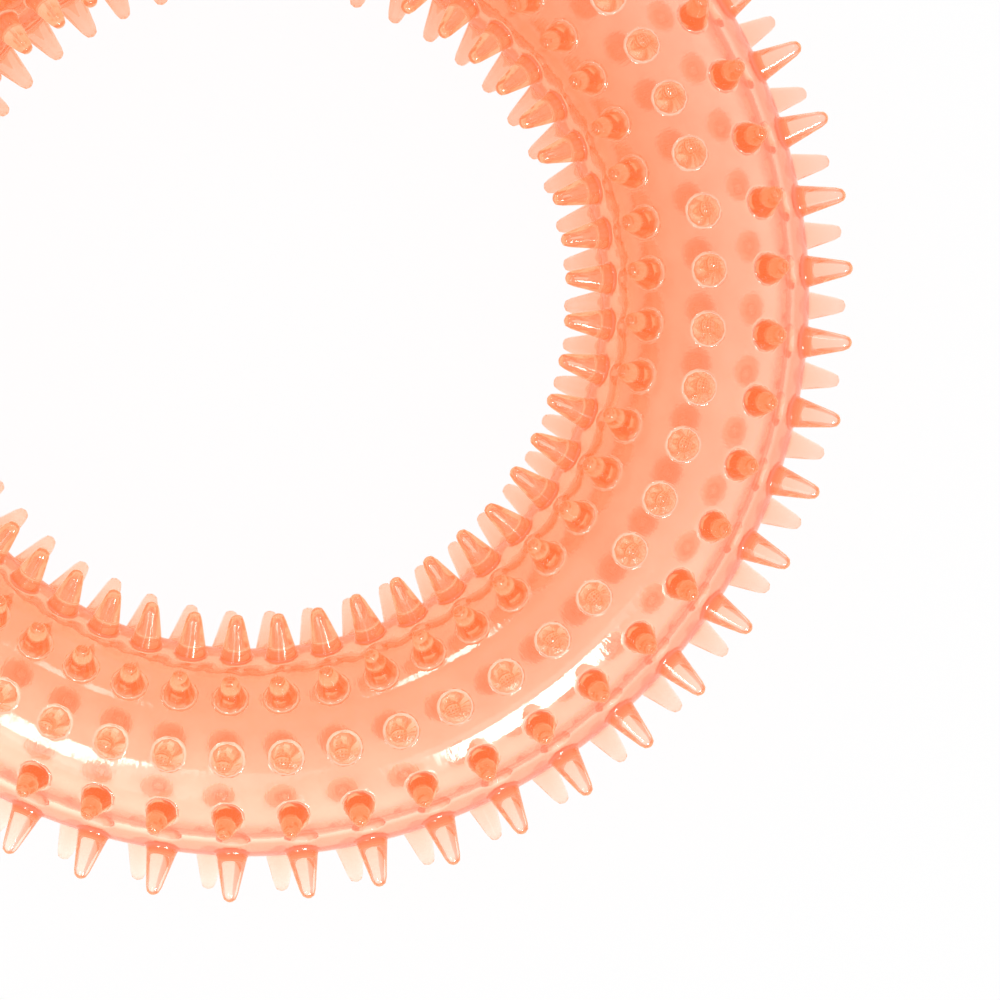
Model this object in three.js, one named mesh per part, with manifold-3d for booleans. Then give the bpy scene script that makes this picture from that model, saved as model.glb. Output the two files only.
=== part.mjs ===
// Spiky chew ring for a dog: a hollow rubber ring of two equal half shells, joined at a seam round its middle.
// Each half carries five rows of blunt tapered spikes, moulded in one piece with the wall. The lower half is
// the same moulding turned over, and a bead squeezed out of the joint runs round the inside of both walls.
// Millimetres and degrees, +Z along the ring's axis, the ring standing on the tips of its lowest spikes.

import * as THREE from 'three';
import { mergeVertices } from 'three/addons/utils/BufferGeometryUtils.js';
import Module from 'manifold-3d';

const wasm = await Module();
wasm.setup();

// Driving dimensions of the ring
const BODY_DIAMETER = 150; // across the outer wall at the seam, without the spikes
const TUBE_DIAMETER = 27.8; // thickness of the ring's tube
const WALL = 2.3;
const SEAM_GAP = 0.3; // clearance between the rims of the two halves
const LOWER_TURN = 4.2; // angle of the lower half's spikes from the upper ones

// Driving dimensions of the spikes
const SPIKES_PER_ROW = 50;
const SPIKE_LENGTH = 6.45;
const SPIKE_ROOT_RADIUS = 2.05;
const SPIKE_TIP_RADIUS = 0.67;
const SPIKE_SIDES = 5;
const BAND_MARGIN = 0.3; // flat of the wall left beside a row's spikes

// Where each row sits round the tube's section, and where its spikes point: 0 is outward, 90 is up
const ROWS = [
  { name: 'outer_rim', seat: 23, point: 23 },
  { name: 'outer_shoulder', seat: 56, point: 73 },
  { name: 'crown', seat: 90, point: 90 },
  { name: 'inner_shoulder', seat: 124, point: 116 },
  { name: 'inner_rim', seat: 157, point: 157 },
];

// Driving dimensions of the seam beads, squeezed out inside the wall
const OUTER_BEAD = { width: 2.4, height: 0.9 };
const INNER_BEAD = { width: 3.2, height: 1.3 };
const BEAD_CLEARANCE = 0.3; // from the flats of the wall's inside
const CAVITY_FACETS = 7; // flats of the half tube's inside
const FLATNESS = 0.001; // flat faces are one face to within this

// Sizes that follow
const TUBE_RADIUS = TUBE_DIAMETER / 2;
const RING_RADIUS = (BODY_DIAMETER - TUBE_DIAMETER) / 2;
const CAVITY_RADIUS = TUBE_RADIUS - WALL;
const PITCH = (2 * Math.PI) / SPIKES_PER_ROW;
const SEAM_HEIGHT = TUBE_RADIUS + SPIKE_LENGTH; // of the seam above the lowest tips
const HALF_TURN = Math.PI;
const QUARTER_TURN = Math.PI / 2;
const radians = THREE.MathUtils.degToRad;

// A point of the tube's section, at a radius and an angle about the tube's own centre line
function sectionPoint(radius, angle) {
  return new THREE.Vector2(RING_RADIUS + radius * Math.cos(angle), radius * Math.sin(angle));
}

// A profile turned about the Z axis
function revolve(profile, sides, start = 0) {
  return new THREE.LatheGeometry(profile, sides, start).rotateX(QUARTER_TURN);
}

function toSolid(geometry) {
  const bare = geometry.clone().deleteAttribute('normal').deleteAttribute('uv');
  const welded = mergeVertices(bare);
  return new wasm.Manifold(new wasm.Mesh({
    numProp: 3,
    vertProperties: new Float32Array(welded.attributes.position.array),
    triVerts: new Uint32Array(welded.index.array),
  }));
}

// The solid without the needless points that a union leaves on flat faces and straight edges
function cleaned(solid) {
  return solid.asOriginal().simplify(FLATNESS);
}

function toGeometry(solid) {
  const mesh = solid.getMesh();
  const geometry = new THREE.BufferGeometry();
  geometry.setAttribute('position', new THREE.BufferAttribute(mesh.vertProperties, mesh.numProp));
  geometry.setIndex(new THREE.BufferAttribute(mesh.triVerts, 1));
  geometry.computeVertexNormals();
  return geometry;
}

// Corner radius of a polygon with the same area as a circle, so that a faceted spike keeps its volume
function cornerRadius(radius, sides) {
  const sector = (2 * Math.PI) / sides;
  return radius * Math.sqrt(sector / Math.sin(sector));
}

// Half the angle of the flat band that a row's spikes stand on. A spike that leans has a longer root.
function bandHalfAngle(row) {
  const root = cornerRadius(SPIKE_ROOT_RADIUS, SPIKE_SIDES) / Math.cos(radians(row.point - row.seat));
  return Math.asin((root + BAND_MARGIN) / TUBE_RADIUS);
}

// The outside of a half tube, cut flat at the seam, with one flat band round the ring for each row
function archGeometry() {
  const rim = Math.asin(SEAM_GAP / 2 / TUBE_RADIUS);
  const profile = [sectionPoint(TUBE_RADIUS, rim)];
  for (const row of ROWS) {
    const bandHalf = bandHalfAngle(row);
    profile.push(sectionPoint(TUBE_RADIUS, radians(row.seat) - bandHalf));
    profile.push(sectionPoint(TUBE_RADIUS, radians(row.seat) + bandHalf));
  }
  profile.push(sectionPoint(TUBE_RADIUS, HALF_TURN - rim));
  profile.push(profile[0].clone());
  return revolve(profile, SPIKES_PER_ROW);
}

// The hollow inside both halves, a whole tube
function cavityGeometry() {
  const profile = [];
  for (let i = 0; i <= 2 * CAVITY_FACETS; i++) {
    profile.push(sectionPoint(CAVITY_RADIUS, (i * HALF_TURN) / CAVITY_FACETS));
  }
  return revolve(profile, SPIKES_PER_ROW);
}

// One spike along +Z, with its seat on the wall at z = 0 and its root sunk through the wall
function spikeGeometry() {
  const taper = (SPIKE_ROOT_RADIUS - SPIKE_TIP_RADIUS) / SPIKE_LENGTH;
  const root = cornerRadius(SPIKE_ROOT_RADIUS + taper * WALL, SPIKE_SIDES);
  const tip = cornerRadius(SPIKE_TIP_RADIUS, SPIKE_SIDES);
  const profile = [
    new THREE.Vector2(0, -WALL),
    new THREE.Vector2(root, -WALL),
    new THREE.Vector2(tip, SPIKE_LENGTH),
    new THREE.Vector2(0, SPIKE_LENGTH),
  ];
  return revolve(profile, SPIKE_SIDES, -QUARTER_TURN);
}

// A row's spikes: each leans to the row's direction, sits on the wall and is turned to its place in the ring
function rowSolids(row, spike) {
  const seat = sectionPoint(TUBE_RADIUS, radians(row.seat));
  const lean = new THREE.Matrix4().makeRotationY(QUARTER_TURN - radians(row.point));
  const onWall = new THREE.Matrix4().makeTranslation(seat.x, 0, seat.y).multiply(lean);
  const solids = [];
  for (let i = 0; i < SPIKES_PER_ROW; i++) {
    const place = new THREE.Matrix4().makeRotationZ(i * PITCH).multiply(onWall);
    solids.push(spike.transform(place.elements));
  }
  return solids;
}

// One moulding: the half tube with all its spikes, hollowed out to the wall
function halfShellGeometry() {
  const spike = cleaned(toSolid(spikeGeometry()));
  const solids = [toSolid(archGeometry())];
  for (const row of ROWS) {
    solids.push(...rowSolids(row, spike));
  }
  const hollowed = wasm.Manifold.union(solids).subtract(toSolid(cavityGeometry()));
  return toGeometry(cleaned(hollowed));
}

// A bead against the inside of the wall at the seam: flat at the back, rounded towards the hollow
function beadGeometry(bead, middle) {
  const seat = CAVITY_RADIUS * Math.cos(HALF_TURN / CAVITY_FACETS / 2) - BEAD_CLEARANCE;
  const edge = Math.asin(bead.width / 2 / seat);
  const shoulder = edge / 2;
  const profile = [
    sectionPoint(seat, middle - edge),
    sectionPoint(seat, middle + edge),
    sectionPoint(seat - bead.height, middle + shoulder),
    sectionPoint(seat - bead.height, middle - shoulder),
    sectionPoint(seat, middle - edge),
  ];
  return toGeometry(toSolid(revolve(profile, SPIKES_PER_ROW)));
}

// Materials, one for each sub-part
function rubber(color, roughness) {
  return new THREE.MeshStandardMaterial({ color, roughness, metalness: 0 });
}

function addPart(group, name, geometry, material) {
  const mesh = new THREE.Mesh(geometry, material);
  mesh.name = name;
  group.add(mesh);
  return mesh;
}

const chewRing = new THREE.Group();
chewRing.position.z = SEAM_HEIGHT;

const halfShell = halfShellGeometry();
addPart(chewRing, 'upper_shell', halfShell, rubber(0xfd966d, 0.2));
const lowerShell = addPart(chewRing, 'lower_shell', halfShell, rubber(0xfd966d, 0.2));
lowerShell.rotation.set(HALF_TURN, 0, -radians(LOWER_TURN));
addPart(chewRing, 'outer_seam_bead', beadGeometry(OUTER_BEAD, 0), rubber(0xfeb193, 0.3));
addPart(chewRing, 'inner_seam_bead', beadGeometry(INNER_BEAD, HALF_TURN), rubber(0xfeb193, 0.3));

export default chewRing;
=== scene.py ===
"""Spiky chew ring: the looks of a hollow rubber dog toy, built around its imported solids."""

import math
import random

import bmesh
import bpy
from bpy.props import FloatProperty, FloatVectorProperty, IntProperty, PointerProperty
from mathutils import Matrix, Vector


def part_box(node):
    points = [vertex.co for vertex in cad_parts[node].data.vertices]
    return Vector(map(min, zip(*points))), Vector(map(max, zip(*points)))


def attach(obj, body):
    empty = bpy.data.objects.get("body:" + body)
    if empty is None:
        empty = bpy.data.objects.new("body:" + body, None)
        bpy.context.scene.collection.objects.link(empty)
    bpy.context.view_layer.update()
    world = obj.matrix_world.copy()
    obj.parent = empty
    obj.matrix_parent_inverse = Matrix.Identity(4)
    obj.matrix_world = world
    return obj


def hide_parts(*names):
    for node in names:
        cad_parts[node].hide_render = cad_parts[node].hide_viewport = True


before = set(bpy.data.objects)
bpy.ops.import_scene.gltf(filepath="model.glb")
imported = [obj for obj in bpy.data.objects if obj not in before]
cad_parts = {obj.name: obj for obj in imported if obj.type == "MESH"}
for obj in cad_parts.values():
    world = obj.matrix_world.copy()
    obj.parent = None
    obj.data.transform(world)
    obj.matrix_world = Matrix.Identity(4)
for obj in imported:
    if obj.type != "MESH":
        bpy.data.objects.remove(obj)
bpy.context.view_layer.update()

bl_info = {
    "name": "Spiky Chew Ring",
    "version": (1, 0, 0),
    "blender": (4, 5, 0),
    "location": "View3D > Sidebar > Chew Ring",
    "description": "Builds a hollow rubber chew ring with rows of spikes, its seam and a studio stage",
    "category": "Add Mesh",
}

MM = 0.001
TINY = 1e-6
MERGE_REACH = 2 * TINY  # within which the points of neighbouring pitches are one
RING_REACH = 10 * TINY  # within which a point lies on a ring of a spike
ROUND_REACH = 0.03 * MM  # within which a point lies on the wall
PITCH_MARGIN = 1e-4  # angle from the ends of a pitch, past which an open edge belongs to a hole
SEAM_LEVEL = (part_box("upper_shell")[0].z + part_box("lower_shell")[1].z) / 2

# Rows of spikes: where they sit round the tube's section and where they point, 0 is outward and 90 is up
ROWS = [(19.5, 17.0), (56.25, 73.0), (90.0, 90.0), (123.75, 116.0), (158.0, 151.0)]

# Faces of the wall: round the tube, round the hollow, along one pitch of the spikes, and across a spike's root
WALL_SIDES = 64
HOLLOW_SIDES = 48
PITCH_STEPS = 5
ROOT_STEPS = 3
SPIKE_SIDES = 4 * ROOT_STEPS

# Rings of a spike: share of its length, its radius there between the tip's 0 and the root's 1, and the angle
# by which its surface is turned towards the tip
SPIKE_RINGS = [(0.09, 1.0, 12.0), (0.83, 0.32, 12.0), (0.945, 0.12, 35.0), (0.99, -0.2, 68.0)]
FOOT_LIFT = 0.025  # of the fillet's middle above the seat, as a share of the spike's length
FOOT_WIDTH = 0.3  # of the fillet's middle, between the root's 0 and the fillet's outer edge at 1
FOOT_RING = "foot_ring"  # attribute that marks the fillets' middles
TIP_START = 0.995  # share of the length past which a point is the end of the tip

# Sway of the spikes: the share of the length where it starts, its growth along the spike, and each half's seed
SWAY_START = 0.05
SWAY_GROWTH = 1.5
UPPER_SEED = 11
LOWER_SEED = 23

# Waves inside the wall: their middle round the tube's section and how far they reach to both sides
RIPPLE_ANGLE = math.radians(155.0)
RIPPLE_SPREAD = math.radians(35.0)

# Soft boxes: angle round the ring, angle above the floor, width, height and share of the brightness
SOFT_BOXES = [
    ("right_soft_box", -60.5, 39.0, 0.23, 0.20, 0.8),
    ("right_halo", -60.5, 41.0, 0.33, 0.34, 0.06),
    ("left_soft_box", -127.0, 58.0, 0.10, 0.20, 0.5),
    ("left_halo", -125.0, 54.0, 0.17, 0.33, 0.07),
    ("left_wide_halo", -120.0, 50.0, 0.32, 0.42, 0.05),
    ("right_strip", 121.0, 46.0, 0.10, 0.08, 0.6),
    ("left_strip", 76.0, 49.0, 0.12, 0.08, 0.22),
]
LAMP_DISTANCE = 0.7  # of the soft boxes from the middle of the ring

# Seam beads: distance from the inside of the wall, width, height, seed, and waves by number and reach
OUTER_BEAD = (0.3 * MM, 0.4 * MM, 0.7 * MM, 5, [(17, 0.03 * MM), (41, 0.02 * MM)])
INNER_BEAD = (
    0.95 * MM, 0.5 * MM, 0.9 * MM, 8, [(50, 0.3 * MM), (100, 0.1 * MM), (31, 0.1 * MM), (13, 0.08 * MM)])
BEAD_STEPS = 256  # the most that Blender's torus takes
BEAD_SIDES = 8

# Zones of the rubber, each from where it starts to where it is full
INSIDE_ZONE = (0.6 * MM, 0.3 * MM)  # above the hollow
CROWN_ZONE = (6.0 * MM, 8.0 * MM)  # of the dull inside, above and below the seam
JOINT_ZONE = (5.5 * MM, 3.5 * MM)  # of the joint's deeper colour, above and below the seam
PROUD_ZONE = (0.0, 1.0 * MM)  # of the spikes, above the wall
RIM_ZONE = (10.0 * MM, 8.0 * MM)  # of the rim rows, above and below the seam
CROWN_ROW_ZONE = (3.0 * MM, 2.0 * MM)  # of the crown row, to both sides of the tube's middle
INWARD_ZONE = (2 / 3, -2 / 3)  # of the ring's inner side, which gets painted shade, in tube radii out from the tube's middle
FOOT_ZONE = (1 / 3, 1.0)  # of the painted highlight ring, in the attribute at a spike's foot
PATCH_ZONE = (5 / 14, 9 / 14)  # of the deep patches, in the cloud pattern

# Patterns of the rubber: scale for each metre, detail and roughness
CLOUD = (160.0, 4.0, 0.6)
SWELL = (420.0, 2.0, 0.5)
MARKS = (1300.0, 2.0, 0.6)
MARK_STRETCH = 0.35  # of the moulding marks, round the tube
SWELL_SHARE = 0.5  # of the relief
MARK_SHARE = 0.8
RELIEF_STRENGTH = 0.25
RELIEF_DEPTH = 0.1 * MM

# Shares in the rubber's colour
PATCH_SHARE = 0.45  # of the deeper skin that lies in random patches, the rest is painted shade on the ring's inner side
CLOUDY_GLOW_ALL = 0.2  # tint and painted glow of all spikes
CLOUDY_GLOW_RIM = 0.8  # and more on the rim rows
CLOUDY_GLOW_CROWN = 0.4  # and on the crown row
FOOT_HIGHLIGHT_ALL = 0.25  # painted highlight ring at the foot of all spikes
FOOT_HIGHLIGHT_CROWN = 0.75  # and more on the crown row
JOINT_INWARD_LOSS = 0.6  # of the joint's colour on the inner side

# Floor, camera and light paths
FLOOR_SIZE = 8.0
FLOOR_GLOW = 0.96  # share of the floor's plain white to the camera, the rest keeps the shadow
GLIMPSE_RANGE = (0.7, 1.3)  # of the fall-off on the floor that is seen through the rubber
CAMERA_EYE = Vector((39.99, -32.05, 423.45)) * MM  # from the middle of the ring
CAMERA_AIM = Vector((32.58, -28.59, 0)) * MM
CAMERA_ROLL = math.radians(-2.233)
CAMERA_LENS = 113.85
CAMERA_SENSOR = 36.0
BOUNCES = 40


class RingSizes(bpy.types.PropertyGroup):
    ring_radius: FloatProperty(
        name="Ring radius", description="From the ring's axis to the middle of its tube",
        default=61.1 * MM, unit="LENGTH", subtype="DISTANCE")
    tube_radius: FloatProperty(
        name="Tube radius", description="From the middle of the tube to the outside of its wall",
        default=13.9 * MM, unit="LENGTH", subtype="DISTANCE")
    wall: FloatProperty(
        name="Wall", description="Thickness of the rubber wall",
        default=2.3 * MM, unit="LENGTH", subtype="DISTANCE")
    seam_level: FloatProperty(
        name="Seam level", description="Height of the seam between the two halves",
        default=SEAM_LEVEL, unit="LENGTH", subtype="DISTANCE")
    seam_gap: FloatProperty(
        name="Seam gap", description="Gap between the rims of the two halves",
        default=-0.02 * MM, unit="LENGTH", subtype="DISTANCE")
    ripple: FloatProperty(
        name="Ripple", description="Height of the waves inside the wall at the inner rim",
        default=0.22 * MM, unit="LENGTH", subtype="DISTANCE")
    lower_turn: FloatProperty(
        name="Lower turn", description="Angle of the lower half's spikes from the upper ones",
        default=math.radians(4.2), subtype="ANGLE")


class SpikeSizes(bpy.types.PropertyGroup):
    per_row: IntProperty(
        name="Spikes in a row", description="Number of spikes in each row round the ring", default=50)
    length: FloatProperty(
        name="Length", description="From the wall to the tip",
        default=6.45 * MM, unit="LENGTH", subtype="DISTANCE")
    root_radius: FloatProperty(
        name="Root radius", description="Radius of a spike above its fillet",
        default=2.03 * MM, unit="LENGTH", subtype="DISTANCE")
    tip_radius: FloatProperty(
        name="Tip radius", description="Radius of a spike below its rounded end",
        default=0.6 * MM, unit="LENGTH", subtype="DISTANCE")
    fillet_radius: FloatProperty(
        name="Fillet radius", description="Radius at which the fillet runs out into the wall",
        default=2.6 * MM, unit="LENGTH", subtype="DISTANCE")
    sway: FloatProperty(
        name="Sway", description="How far a tip stands off its true place",
        default=0.2 * MM, unit="LENGTH", subtype="DISTANCE")


class RubberLook(bpy.types.PropertyGroup):
    clear_tint: FloatVectorProperty(
        name="Tint", description="Colour that the rubber lets through",
        default=(1.0, 0.275, 0.0), subtype="COLOR", size=3, min=0.0, max=1.0)
    depth: FloatProperty(
        name="Depth of colour", description="Absorption for each metre of rubber", default=138.0)
    skin_pale: FloatVectorProperty(
        name="Pale skin", description="Colour of the palest spots of the rubber's skin",
        default=(1.0, 1.0, 1.0), subtype="COLOR", size=3, min=0.0, max=1.0)
    # Deep skin: random deeper patches, and painted shade on the ring's inner side
    skin_deep_and_shade: FloatVectorProperty(
        name="Deep skin", description="Colour of the deepest spots of the rubber's skin",
        default=(1.0, 0.75, 0.73), subtype="COLOR", size=3, min=0.0, max=1.0)
    joint_tint: FloatVectorProperty(
        name="Joint", description="Colour of the rubber where the two halves are joined",
        default=(1.0, 0.25, 0.20), subtype="COLOR", size=3, min=0.0, max=1.0)
    # Painted glow that only the camera sees, standing in for light scattered by the cloudiness of the rubber,
    # brighter on the ring's outer side as painted light
    outer_painted_haze: FloatVectorProperty(
        name="Outer haze", description="Light that the cloudy rubber gives back on the ring's outer side",
        default=(0.2, 0.18, 0.088), subtype="COLOR", size=3, min=0.0, max=1.0)
    painted_haze: FloatVectorProperty(
        name="Inner haze", description="Light that it gives back on the ring's inner side",
        default=(0.2, 0.15, 0.033), subtype="COLOR", size=3, min=0.0, max=1.0)
    spike_tint: FloatVectorProperty(
        name="Spikes", description="Colour of the spikes' skin",
        default=(1.0, 0.73, 0.82), subtype="COLOR", size=3, min=0.0, max=1.0)
    # Painted glow on the spikes, standing in for light that their cloudier rubber scatters
    spike_painted_haze: FloatVectorProperty(
        name="Haze of the spikes", description="Light that the cloudier rubber of the spikes gives back",
        default=(0.2, 0.25, 0.105), subtype="COLOR", size=3, min=0.0, max=1.0)
    # Painted highlight: a pale glowing ring at each spike's foot
    foot_painted_highlight: FloatVectorProperty(
        name="Haze of the feet", description="Light that the pale ring at each spike's foot gives back",
        default=(0.2, 0.42, 0.31), subtype="COLOR", size=3, min=0.0, max=1.0)
    bend: FloatProperty(
        name="Refraction", description="Index of refraction of the rubber", default=1.41)
    gloss_low: FloatProperty(
        name="Glossiest", description="Roughness of the smoothest spots", default=0.02, subtype="FACTOR")
    gloss_high: FloatProperty(
        name="Dullest", description="Roughness of the dullest spots", default=0.06, subtype="FACTOR")
    gloss_inside: FloatProperty(
        name="Inside", description="Roughness of the wall's inside, next to the hollow",
        default=0.16, subtype="FACTOR")


class StageLook(bpy.types.PropertyGroup):
    floor_tone: FloatVectorProperty(
        name="Floor", description="Colour of the floor",
        default=(0.96, 0.96, 0.96), subtype="COLOR", size=3, min=0.0, max=1.0)
    through_light: FloatProperty(
        name="Seen through", description="Brightness of the stage where it is seen through the rubber",
        default=1.25)
    fall_off: FloatProperty(
        name="Fall-off", description="Loss of that brightness for each metre to the back and to the right",
        default=2.7)
    box_light: FloatProperty(
        name="Soft boxes", description="Brightness of the soft boxes that show as highlights", default=40.0)


# Selection and transforms in edit mode

def edit_mesh():
    return bmesh.from_edit_mesh(bpy.context.object.data)


def pick_verts(test):
    mesh = edit_mesh()
    mesh.select_mode = {"VERT"}
    for vert in mesh.verts:
        vert.select_set(bool(test(vert.co)))
    mesh.select_flush_mode()
    bmesh.update_edit_mesh(bpy.context.object.data)


def pick_faces(test):
    bpy.ops.mesh.select_all(action="DESELECT")
    mesh = edit_mesh()
    mesh.select_mode = {"FACE"}
    for face in mesh.faces:
        if test(face.calc_center_median()):
            face.select_set(True)
    mesh.select_flush_mode()
    bmesh.update_edit_mesh(bpy.context.object.data)


def pick_edges(test, extend=False):
    if not extend:
        bpy.ops.mesh.select_all(action="DESELECT")
    mesh = edit_mesh()
    mesh.select_mode = {"EDGE"}
    for edge in mesh.edges:
        if test(edge):
            edge.select_set(True)
    mesh.select_flush_mode()
    bmesh.update_edit_mesh(bpy.context.object.data)


def to_object_mode():
    bpy.ops.object.mode_set(mode="OBJECT")


# The half shell

def half_section(sizes):
    """The half tube's section: the outer arc, the inner arc and the two rims."""
    upright = (math.pi / 2, 0, 0)
    middle = (sizes.ring_radius, 0, 0)
    bpy.ops.object.select_all(action="DESELECT")
    bpy.ops.mesh.primitive_circle_add(
        vertices=WALL_SIDES, radius=sizes.tube_radius, location=middle, rotation=upright)
    bpy.ops.object.transform_apply(location=True, rotation=True, scale=True)
    bpy.ops.object.mode_set(mode="EDIT")
    bpy.ops.mesh.primitive_circle_add(
        vertices=HOLLOW_SIDES, radius=sizes.tube_radius - sizes.wall, location=middle, rotation=upright)
    bpy.ops.mesh.select_mode(type="VERT")
    pick_verts(lambda co: co.z < -TINY)
    bpy.ops.mesh.delete(type="VERT")
    for side in (-1, 1):
        pick_verts(lambda co: abs(co.z) < TINY and side * (co.x - sizes.ring_radius) > 0)
        bpy.ops.mesh.edge_face_add()


def sweep_pitch(pitch):
    """Sweeps the section along one pitch of the spikes, with the spikes' place in the middle."""
    bpy.ops.mesh.select_all(action="SELECT")
    bpy.ops.transform.rotate(value=-pitch / 2, orient_axis="Z", center_override=(0, 0, 0))
    bpy.ops.mesh.spin(steps=PITCH_STEPS, angle=pitch, center=(0, 0, 0), axis=(0, 0, 1))


def section_place(co, sizes):
    """A point's angle round the ring, and its radius and angle in the tube's section."""
    out = co.xy.length - sizes.ring_radius
    return math.atan2(co.y, co.x), math.hypot(out, co.z), math.atan2(co.z, out)


def onto_wall(co, sizes, radius):
    """The nearest point of the wall's outside or inside, which lies at a radius in the tube's section."""
    turn = math.atan2(co.y, co.x)
    middle = Vector((math.cos(turn), math.sin(turn), 0)) * sizes.ring_radius
    return middle + (co - middle).normalized() * radius


def refine_hollow(sizes):
    """Halves the faces of the wall's inside, which the clear tips show enlarged."""
    hollow = sizes.tube_radius - sizes.wall
    pick_faces(lambda co: section_place(co, sizes)[1] < hollow + sizes.wall / 4)
    bpy.ops.mesh.subdivide(number_cuts=1)
    for vert in edit_mesh().verts:
        if vert.select:
            vert.co = onto_wall(vert.co, sizes, hollow)


def spike_line(row, sizes):
    """A row's spike: its seat on the wall, the wall's direction there, and its own direction."""
    across, aim = (Vector((math.cos(math.radians(a)), 0, math.sin(math.radians(a)))) for a in row)
    return Vector((sizes.ring_radius, 0, 0)) + across * sizes.tube_radius, across, aim


def open_wall(row, sizes, spikes, pitch):
    """Cuts the round hole for a row's spike into the outside of the wall, and leaves its edge selected."""
    half_turn = pitch * ROOT_STEPS / PITCH_STEPS / 2
    half_arc = math.tau * ROOT_STEPS / WALL_SIDES / 2
    grid_angle = (math.floor(row[0] / 360 * WALL_SIDES) + 0.5) * math.tau / WALL_SIDES

    def at_root(co):
        turn, radius, angle = section_place(co, sizes)
        return (abs(turn) < half_turn and abs(angle - grid_angle) < half_arc
                and radius > sizes.tube_radius - sizes.wall / 2)

    pick_faces(at_root)
    bpy.ops.mesh.delete(type="FACE")
    pick_edges(lambda edge: round_hole(edge, pitch))
    bpy.ops.transform.tosphere(value=1.0)
    rim = [v.co.copy() for v in edit_mesh().verts if v.select]
    centre = sum(rim, Vector()) / len(rim)
    grow = spikes.fillet_radius * len(rim) / sum((co - centre).length for co in rim)
    bpy.ops.transform.resize(value=(grow, grow, grow), center_override=centre)
    bpy.ops.transform.translate(value=spike_line(row, sizes)[0] - centre)
    for vert in edit_mesh().verts:
        if vert.select:
            vert.co = onto_wall(vert.co, sizes, sizes.tube_radius)


def round_hole(edge, pitch):
    """True on the edges of the hole that is open now."""
    inside = all(abs(math.atan2(v.co.y, v.co.x)) < pitch / 2 - PITCH_MARGIN for v in edge.verts)
    return len(edge.link_faces) == 1 and inside


def raise_spike(row, sizes, spikes, pitch):
    """Draws one spike out of the open hole at a row's seat, ring by ring."""
    seat, across, aim = spike_line(row, sizes)
    middle = seat + across * FOOT_LIFT * spikes.length
    radius = spikes.root_radius + FOOT_WIDTH * (spikes.fillet_radius - spikes.root_radius)
    bpy.ops.mesh.primitive_circle_add(
        vertices=SPIKE_SIDES, radius=radius, location=middle,
        rotation=(0, math.pi / 2 - math.radians(row[0]), 0))
    pick_edges(lambda edge: round_hole(edge, pitch), extend=True)
    bpy.ops.mesh.bridge_edge_loops()
    pick_verts(lambda co: (abs((co - middle).length - radius) < RING_REACH
                           and abs((co - middle).dot(across)) < RING_REACH))
    lean = math.radians(row[1] - row[0])
    for share, width, _ in SPIKE_RINGS:
        place = seat + aim * share * spikes.length
        bpy.ops.mesh.extrude_region_move(TRANSFORM_OT_translate={"value": place - middle})
        if lean:
            bpy.ops.transform.rotate(value=lean, orient_axis="Y", center_override=place)
            lean = 0
        wanted = spikes.tip_radius + width * (spikes.root_radius - spikes.tip_radius)
        grow = wanted / radius
        bpy.ops.transform.resize(value=(grow, grow, grow), center_override=place)
        middle, radius = place, wanted
    bpy.ops.mesh.extrude_region_move(TRANSFORM_OT_translate={"value": seat + aim * spikes.length - middle})
    bpy.ops.mesh.merge(type="CENTER")


def at_rim(edge, sizes):
    """True on the edges round the ring where the outside or the inside of the wall meets the flat rim."""
    one, other = (section_place(vert.co, sizes) for vert in edge.verts)
    level = all(abs(vert.co.z) < TINY for vert in edge.verts)
    return level and abs(one[1] - other[1]) < sizes.wall / 4


def plain_half(sizes, spikes):
    """One half of the ring, rim at z = 0, with all its spikes straight."""
    pitch = math.tau / spikes.per_row
    half_section(sizes)
    sweep_pitch(pitch)
    refine_hollow(sizes)
    for row in ROWS:
        open_wall(row, sizes, spikes, pitch)
        raise_spike(row, sizes, spikes, pitch)
    bpy.ops.mesh.select_all(action="SELECT")
    bpy.ops.mesh.spin(
        steps=spikes.per_row - 1, dupli=True, angle=math.tau - pitch, center=(0, 0, 0), axis=(0, 0, 1))
    bpy.ops.mesh.select_all(action="SELECT")
    bpy.ops.mesh.remove_doubles(threshold=MERGE_REACH)
    bpy.ops.mesh.normals_make_consistent(inside=False)
    loose = sum(len(edge.link_faces) != 2 for edge in edit_mesh().edges)
    pick_edges(lambda edge: at_rim(edge, sizes))
    bpy.ops.mesh.mark_sharp()
    to_object_mode()
    if loose:
        raise RuntimeError(f"the half shell has {loose} open edges")
    bpy.ops.object.shade_smooth()
    shade_round(bpy.context.object, sizes, spikes)
    return bpy.context.object


def sway_spikes(shell, sizes, spikes, seed):
    """Bends each spike a little off its true place, as soft moulded spikes stand."""
    chance = random.Random(seed)
    pitch = math.tau / spikes.per_row
    bends = {}
    for row in range(len(ROWS)):
        for turn in range(spikes.per_row):
            bends[row, turn] = Vector([chance.gauss(0, 1) for _ in range(3)]) * spikes.sway
    lines = [spike_line(row, sizes) for row in ROWS]
    for vert in shell.data.vertices:
        turn = round(math.atan2(vert.co.y, vert.co.x) / pitch)
        back = Matrix.Rotation(-turn * pitch, 3, "Z")
        local = back @ vert.co
        for row, (seat, _, aim) in enumerate(lines):
            reach = local - seat
            height = reach.dot(aim)
            if height < SWAY_START * spikes.length or (reach - aim * height).length > spikes.fillet_radius:
                continue
            bend = bends[row, turn % spikes.per_row]
            sideways = bend - aim * bend.dot(aim)
            vert.co = back.transposed() @ (local + sideways * (height / spikes.length) ** SWAY_GROWTH)
            break


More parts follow.
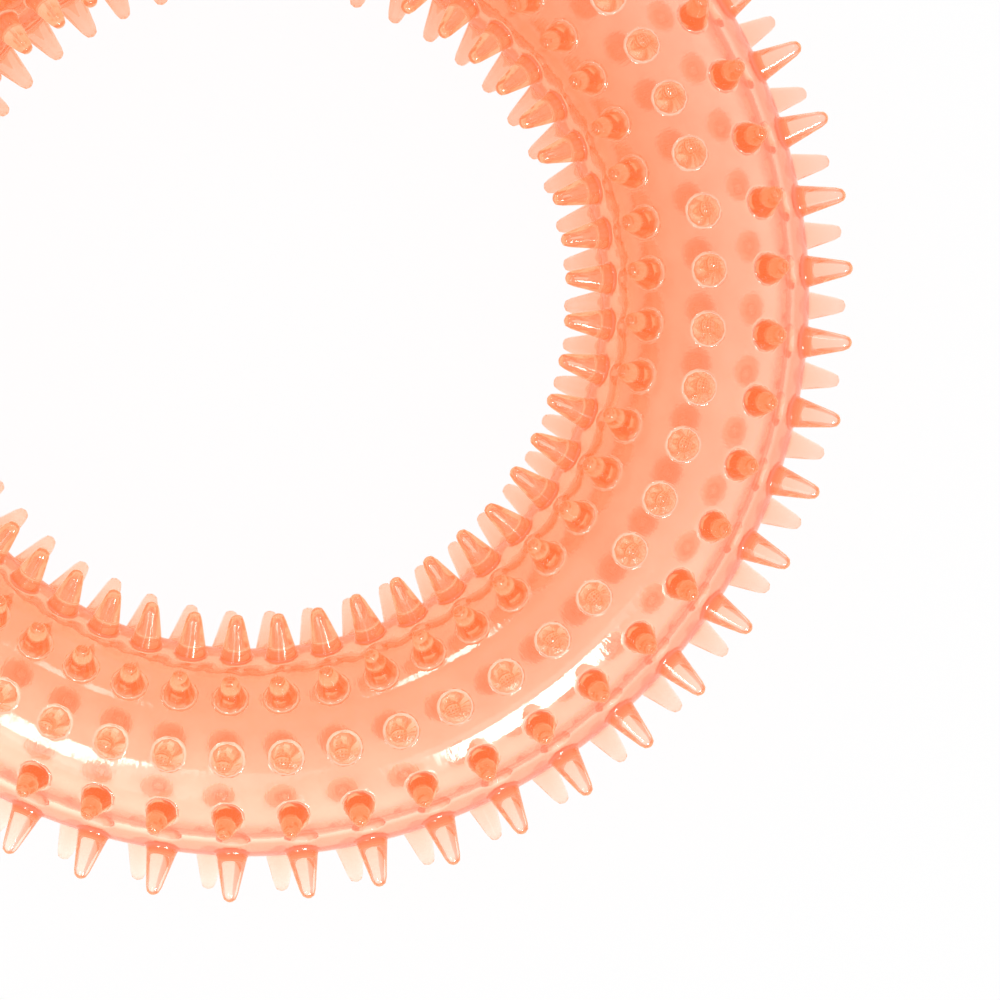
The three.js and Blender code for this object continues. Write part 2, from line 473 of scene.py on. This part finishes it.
def ripple_hollow(shell, sizes, spikes):
    """Waves the inside of the wall at the inner rim, where the rubber shrank at each spike."""
    hollow = sizes.tube_radius - sizes.wall
    for vert in shell.data.vertices:
        turn, radius, angle = section_place(vert.co, sizes)
        if abs(radius - hollow) > ROUND_REACH or vert.co.z < ROUND_REACH:
            continue
        near = max(0.0, 1.0 - abs(angle - RIPPLE_ANGLE) / RIPPLE_SPREAD)
        push = near * sizes.ripple * math.cos(spikes.per_row * turn)
        middle = Vector((math.cos(turn), math.sin(turn), 0)) * sizes.ring_radius
        vert.co = middle + (vert.co - middle) * (1 + push / hollow)


def spike_normal(co, sizes, spikes):
    """The true surface direction at a point of a spike, and 1 in the middle of its fillet or else 0."""
    pitch = math.tau / spikes.per_row
    turned = Matrix.Rotation(round(math.atan2(co.y, co.x) / pitch) * pitch, 3, "Z")
    for row in ROWS:
        seat, across, aim = spike_line(row, sizes)
        reach = turned.transposed() @ co - seat
        along = reach.dot(aim)
        side = reach - aim * along
        if side.length > spikes.fillet_radius or along < -spikes.root_radius:
            continue
        if abs(reach.dot(across) - FOOT_LIFT * spikes.length) < RING_REACH:
            return turned @ (side.normalized() + across).normalized(), 1.0
        tilt = math.radians(min(SPIKE_RINGS, key=lambda ring: abs(ring[0] - along / spikes.length))[2])
        if along > TIP_START * spikes.length:
            return turned @ aim, 0.0
        return turned @ (side.normalized() * math.cos(tilt) + aim * math.sin(tilt)), 0.0
    raise RuntimeError("a point of the half shell is neither on the wall nor on a spike")


def shade_round(shell, sizes, spikes):
    """Shades the faceted half as the true tube with its round spikes, and marks the ring at each foot."""
    mesh = shell.data
    foot_ring = mesh.attributes.new(FOOT_RING, "FLOAT", "POINT")
    hollow = sizes.tube_radius - sizes.wall
    round_normals = []
    for vert in mesh.vertices:
        turn, radius, angle = section_place(vert.co, sizes)
        side = (abs(radius - sizes.tube_radius) < ROUND_REACH) - (abs(radius - hollow) < ROUND_REACH)
        if side:
            out = Vector((math.cos(turn), math.sin(turn), 0)) * math.cos(angle)
            round_normals.append(side * (out + Vector((0, 0, math.sin(angle)))))
        else:
            normal, foot_ring.data[vert.index].value = spike_normal(vert.co, sizes, spikes)
            round_normals.append(normal)
    normals = [None] * len(mesh.loops)
    for face in mesh.polygons:
        flat_rim = all(abs(mesh.vertices[i].co.z) < TINY for i in face.vertices)
        for corner, vert in zip(face.loop_indices, face.vertices):
            normals[corner] = face.normal.copy() if flat_rim else round_normals[vert]
    mesh.normals_split_custom_set(normals)


# Materials

class Field:
    """A number in a shader. Sums and products of it add Math nodes."""

    def __init__(self, look, socket):
        self.look = look
        self.socket = socket

    def math(self, operation, *values):
        made = self.look.node("ShaderNodeMath", {"operation": operation}, dict(enumerate(values)))
        return Field(self.look, made.outputs[0])

    def __add__(self, other):
        return self.math("ADD", self, other)

    def __sub__(self, other):
        return self.math("SUBTRACT", self, other)

    def __mul__(self, other):
        return self.math("MULTIPLY", self, other)

    def __rsub__(self, other):
        return self.math("SUBTRACT", other, self)

    def __pow__(self, other):
        return self.math("POWER", self, other)

    __radd__ = __add__
    __rmul__ = __mul__

    def absolute(self):
        return self.math("ABSOLUTE", self)

    def clamped(self, low, high):
        made = self.look.node("ShaderNodeClamp", {}, {"Value": self, "Min": low, "Max": high})
        return Field(self.look, made.outputs[0])

    def rise(self, start, full):
        """0 up to where a zone starts, and 1 from where it is full."""
        return ((self - start) * (1 / (full - start))).clamped(0.0, 1.0)


class Look:
    """The nodes of one material, world or lamp."""

    def __init__(self, owner):
        owner.use_nodes = True
        self.tree = owner.node_tree
        self.tree.nodes.clear()

    def node(self, kind, settings=None, inputs=None):
        made = self.tree.nodes.new(kind)
        for name, value in (settings or {}).items():
            setattr(made, name, value)
        for name, value in (inputs or {}).items():
            if isinstance(value, Field):
                value = value.socket
            if isinstance(value, bpy.types.NodeSocket):
                self.tree.links.new(value, made.inputs[name])
            else:
                made.inputs[name].default_value = value
        return made

    def field(self, kind, output, settings=None, inputs=None):
        return Field(self, self.node(kind, settings, inputs).outputs[output])

    def axes(self, place):
        made = self.node("ShaderNodeSeparateXYZ", {}, {"Vector": place})
        return [Field(self, socket) for socket in made.outputs]

    def vector(self, x, y, z):
        return self.node("ShaderNodeCombineXYZ", {}, {0: x, 1: y, 2: z}).outputs[0]

    def noise(self, place, scale, detail, roughness):
        return self.field("ShaderNodeTexNoise", "Fac", {}, {
            "Vector": place, "Scale": scale, "Detail": detail, "Roughness": roughness})

    def blend(self, amount, low, high):
        ends = [end if isinstance(end, bpy.types.NodeSocket) else (*end, 1.0) for end in (low, high)]
        made = self.node("ShaderNodeMix", {"data_type": "RGBA"}, {0: amount, 6: ends[0], 7: ends[1]})
        return made.outputs[2]


def clear_rubber(name, rubber, sizes):
    """Clear rubber, tinted at its skin and through its thickness, with a painted glow for its cloudiness,
    painted shade and highlights, and a faintly uneven surface.
    """
    material = bpy.data.materials.new(name)
    look = Look(material)
    place = look.node("ShaderNodeTexCoord").outputs["Object"]
    x, y, z = look.axes(place)
    height = z - sizes.seam_level
    out = (x * x + y * y) ** 0.5 - sizes.ring_radius
    reach = (out * out + height * height) ** 0.5
    level = height.absolute()
    hollow = sizes.tube_radius - sizes.wall
    inside = (reach - hollow).rise(*INSIDE_ZONE)
    proud = (reach - sizes.tube_radius).rise(*PROUD_ZONE)
    inward = (out * (1 / sizes.tube_radius)).rise(*INWARD_ZONE)
    crown_row = out.absolute().rise(*CROWN_ROW_ZONE)

    cloud = look.noise(place, *CLOUD)
    gloss = rubber.gloss_low + (rubber.gloss_high - rubber.gloss_low) * cloud
    gloss = gloss + inside * level.rise(*CROWN_ZONE) * (rubber.gloss_inside - gloss)

    round_tube = height.math("ARCTAN2", height, out) * sizes.tube_radius
    round_ring = height.math("ARCTAN2", y, x) * sizes.ring_radius
    marks = look.noise(look.vector(round_tube * MARK_STRETCH, round_ring, 0.0), *MARKS)
    outside = (1.0 - proud) * (1.0 - inside)
    relief = look.noise(place, *SWELL) * SWELL_SHARE + marks * outside * MARK_SHARE
    bump = look.node("ShaderNodeBump", {}, {
        "Strength": RELIEF_STRENGTH, "Distance": RELIEF_DEPTH, "Height": relief}).outputs["Normal"]

    # Deeper skin in random patches, and painted shade towards the ring's inner side
    patches_and_shade = cloud.rise(*PATCH_ZONE) * PATCH_SHARE + inward * (1.0 - PATCH_SHARE)
    # Spikes' tint and painted glow, more on the rim rows and the crown row
    cloudy_glow = proud * (CLOUDY_GLOW_ALL + CLOUDY_GLOW_RIM * level.rise(*RIM_ZONE) + CLOUDY_GLOW_CROWN * crown_row)
    joint = level.rise(*JOINT_ZONE) * (1.0 - proud) * (1.0 - JOINT_INWARD_LOSS * inward)
    skin = look.blend(patches_and_shade, rubber.skin_pale, rubber.skin_deep_and_shade)
    skin = look.blend(cloudy_glow, skin, rubber.spike_tint)
    skin = look.blend(joint, skin, rubber.joint_tint)

    # Painted highlight ring along the middle of each spike's fillet
    foot = look.field("ShaderNodeAttribute", "Fac", {"attribute_name": FOOT_RING}).rise(*FOOT_ZONE)
    # Painted glow for camera rays, standing in for light scattered by the cloudiness of the rubber: brighter
    # on the ring's outer side, then on the spikes, with a painted highlight ring at each foot
    painted_haze = look.blend(1.0 - (1.0 - inward) * (1.0 - proud), rubber.outer_painted_haze, rubber.painted_haze)
    painted_haze = look.blend(cloudy_glow, painted_haze, rubber.spike_painted_haze)
    painted_haze = look.blend(foot * (FOOT_HIGHLIGHT_ALL + FOOT_HIGHLIGHT_CROWN * crown_row), painted_haze, rubber.foot_painted_highlight)
    seen = look.field("ShaderNodeLightPath", "Is Camera Ray")
    shader = look.node("ShaderNodeBsdfPrincipled", {}, {
        "Base Color": skin,
        "Roughness": gloss,
        "IOR": rubber.bend,
        "Transmission Weight": 1.0,
        "Emission Color": look.blend(seen, (0.0, 0.0, 0.0), painted_haze),
        "Emission Strength": 1.0,
        "Normal": bump,
    })
    tint = look.node("ShaderNodeVolumeAbsorption", {}, {
        "Color": (*rubber.clear_tint, 1.0), "Density": rubber.depth})
    look.node("ShaderNodeOutputMaterial", {}, {
        "Surface": shader.outputs[0], "Volume": tint.outputs[0]})
    return material


def white_floor(stage):
    """A pale floor that is white to the camera, and keeps the ring's shadow."""
    material = bpy.data.materials.new("white_floor")
    look = Look(material)
    seen = look.field("ShaderNodeLightPath", "Is Camera Ray")
    through = look.field("ShaderNodeLightPath", "Is Transmission Ray")
    x, y, _ = look.axes(look.node("ShaderNodeTexCoord").outputs["Object"])
    glimpse = (1.0 - (x + y) * stage.fall_off).clamped(*GLIMPSE_RANGE) * stage.through_light
    tone = look.blend(through, stage.floor_tone, look.vector(glimpse, glimpse, glimpse))
    matt = look.node("ShaderNodeBsdfDiffuse", {}, {"Color": tone})
    glow = look.node("ShaderNodeEmission", {}, {"Color": (1.0, 1.0, 1.0, 1.0), "Strength": 1.0})
    mixed = look.node("ShaderNodeMixShader", {}, {
        0: seen * FLOOR_GLOW, 1: matt.outputs[0], 2: glow.outputs[0]})
    look.node("ShaderNodeOutputMaterial", {}, {"Surface": mixed.outputs[0]})
    return material


def finish_piece(piece, name, node, material):
    piece.name = name
    piece.data.name = name
    piece.data.materials.clear()
    piece.data.materials.append(material)
    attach(piece, "root")
    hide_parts(node)


class CHEWRING_OT_half_shells(bpy.types.Operator):
    """Models the two halves of the ring, each one wall with its five rows of spikes"""
    bl_idname = "chew_ring.half_shells"
    bl_label = "Half Shells"

    def execute(self, context):
        scene = context.scene
        sizes, spikes = scene.chew_ring_sizes, scene.chew_ring_spikes
        rubber = clear_rubber("shell_rubber", scene.chew_ring_rubber, sizes)
        upper = plain_half(sizes, spikes)
        bpy.ops.object.select_all(action="DESELECT")
        upper.select_set(True)
        bpy.ops.object.duplicate(linked=False)
        lower = context.object
        half_gap = sizes.seam_gap / 2
        for shell, seed, turned, lift in (
                (upper, UPPER_SEED, (0, 0, 0), half_gap),
                (lower, LOWER_SEED, (math.pi, 0, sizes.lower_turn), -half_gap)):
            sway_spikes(shell, sizes, spikes, seed)
            ripple_hollow(shell, sizes, spikes)
            bpy.ops.object.select_all(action="DESELECT")
            shell.select_set(True)
            context.view_layer.objects.active = shell
            shell.rotation_euler = turned
            shell.location = (0, 0, sizes.seam_level + lift)
            bpy.ops.object.transform_apply(location=True, rotation=True, scale=True)
        finish_piece(upper, "upper_spiked_half", "upper_shell", rubber)
        finish_piece(lower, "lower_spiked_half", "lower_shell", rubber)
        return {"FINISHED"}


def bead_ring(side, bead_form, sizes):
    """A thin wavy ring of squeezed-out rubber, on the outer side (1) or the inner side (-1) of the tube."""
    inset, wide, tall, seed, waves = bead_form
    radius = sizes.ring_radius + side * (sizes.tube_radius - sizes.wall - inset)
    bpy.ops.object.select_all(action="DESELECT")
    bpy.ops.mesh.primitive_torus_add(
        major_radius=radius, minor_radius=wide / 2, major_segments=BEAD_STEPS, minor_segments=BEAD_SIDES)
    bead = bpy.context.object
    bead.scale = (1.0, 1.0, tall / wide)
    bead.location = (0, 0, sizes.seam_level)
    bpy.ops.object.transform_apply(location=True, rotation=True, scale=True)
    chance = random.Random(seed)
    starts = [(count, reach, chance.uniform(0, math.tau)) for count, reach in waves]
    for vert in bead.data.vertices:
        turn = math.atan2(vert.co.y, vert.co.x)
        push = sum(reach * math.sin(count * turn + start) for count, reach, start in starts)
        vert.co += Vector((math.cos(turn), math.sin(turn), 0)) * push
    bpy.ops.object.shade_smooth()
    return bead


class CHEWRING_OT_seam_beads(bpy.types.Operator):
    """Models the two beads of rubber squeezed out of the joint inside the wall"""
    bl_idname = "chew_ring.seam_beads"
    bl_label = "Seam Beads"

    def execute(self, context):
        scene = context.scene
        sizes = scene.chew_ring_sizes
        rubber = clear_rubber("seam_rubber", scene.chew_ring_rubber, sizes)
        outer = bead_ring(1, OUTER_BEAD, sizes)
        finish_piece(outer, "outer_joint_bead", "outer_seam_bead", rubber)
        inner = bead_ring(-1, INNER_BEAD, sizes)
        finish_piece(inner, "inner_joint_bead", "inner_seam_bead", rubber)
        return {"FINISHED"}


class CHEWRING_OT_stage(bpy.types.Operator):
    """Sets the pale floor, the soft light and the camera"""
    bl_idname = "chew_ring.stage"
    bl_label = "Stage"

    def execute(self, context):
        scene = context.scene
        stage = scene.chew_ring_stage
        sizes = scene.chew_ring_sizes
        bpy.ops.object.select_all(action="DESELECT")
        bpy.ops.mesh.primitive_plane_add(size=FLOOR_SIZE, location=(0, 0, 0))
        floor = context.object
        floor.name = "floor"
        floor.data.materials.append(white_floor(stage))

        world = bpy.data.worlds.new("studio")
        scene.world = world
        look = Look(world)
        through = look.field("ShaderNodeLightPath", "Is Transmission Ray")
        sky = look.node("ShaderNodeBackground", {}, {
            "Color": (1.0, 1.0, 1.0, 1.0), "Strength": 1.0 + through * (stage.through_light - 1.0)})
        look.node("ShaderNodeOutputWorld", {}, {"Surface": sky.outputs[0]})

        target = Vector((0, 0, sizes.seam_level))
        for name, turn, rise, wide, tall, share in SOFT_BOXES:
            turn, rise = math.radians(turn), math.radians(rise)
            away = Vector((math.cos(turn) * math.cos(rise), math.sin(turn) * math.cos(rise), math.sin(rise)))
            bpy.ops.object.light_add(type="AREA", location=target + away * LAMP_DISTANCE)
            lamp = context.object
            lamp.name = name
            lamp.rotation_euler = away.to_track_quat("Z", "Y").to_euler()
            lamp.data.shape = "RECTANGLE"
            lamp.data.size, lamp.data.size_y = wide, tall
            lamp.data.energy = stage.box_light * share * wide * tall * math.pi
            lamp.visible_camera = False
            lamp.visible_diffuse = False
            glow = Look(lamp.data)
            matt = glow.field("ShaderNodeLightPath", "Diffuse Depth").clamped(0.0, 1.0)
            inside = glow.field("ShaderNodeLightPath", "Transmission Depth").clamped(0.0, 1.0)
            light = glow.node("ShaderNodeEmission", {}, {"Strength": (1.0 - matt) * (1.0 - inside)})
            glow.node("ShaderNodeOutputLight", {}, {"Surface": light.outputs[0]})

        ahead = (CAMERA_AIM - CAMERA_EYE).normalized()
        right = ahead.cross(Vector((-math.sin(CAMERA_ROLL), math.cos(CAMERA_ROLL), 0))).normalized()
        turned = Matrix((right, right.cross(ahead), -ahead)).transposed()
        bpy.ops.object.camera_add(location=CAMERA_EYE + target, rotation=turned.to_euler())
        camera = context.object
        camera.name = "camera"
        camera.data.lens = CAMERA_LENS
        camera.data.sensor_width = CAMERA_SENSOR
        scene.camera = camera

        scene.view_settings.view_transform = "Standard"
        scene.cycles.max_bounces = BOUNCES
        scene.cycles.transmission_bounces = BOUNCES
        scene.cycles.glossy_bounces = BOUNCES
        scene.cycles.blur_glossy = 0.0
        return {"FINISHED"}


class VIEW3D_PT_chew_ring(bpy.types.Panel):
    """Lists the chew ring's sizes, finishes and steps"""
    bl_label = "Chew Ring"
    bl_space_type = "VIEW_3D"
    bl_region_type = "UI"
    bl_category = "Chew Ring"

    def draw(self, context):
        for place in GROUPS:
            group = getattr(context.scene, place)
            for name in group.__annotations__:
                self.layout.prop(group, name)
        for step in STEPS:
            self.layout.operator(step.bl_idname)


GROUPS = {
    "chew_ring_sizes": RingSizes,
    "chew_ring_spikes": SpikeSizes,
    "chew_ring_rubber": RubberLook,
    "chew_ring_stage": StageLook,
}
STEPS = [CHEWRING_OT_half_shells, CHEWRING_OT_seam_beads, CHEWRING_OT_stage]
CLASSES = [*GROUPS.values(), *STEPS, VIEW3D_PT_chew_ring]


def register():
    for made in CLASSES:
        bpy.utils.register_class(made)
    for name, group in GROUPS.items():
        setattr(bpy.types.Scene, name, PointerProperty(type=group))


def unregister():
    for name in GROUPS:
        delattr(bpy.types.Scene, name)
    for made in reversed(CLASSES):
        bpy.utils.unregister_class(made)


def main():
    register()
    bpy.ops.chew_ring.half_shells()
    bpy.ops.chew_ring.seam_beads()
    bpy.ops.chew_ring.stage()


if __name__ == "__main__":
    main()
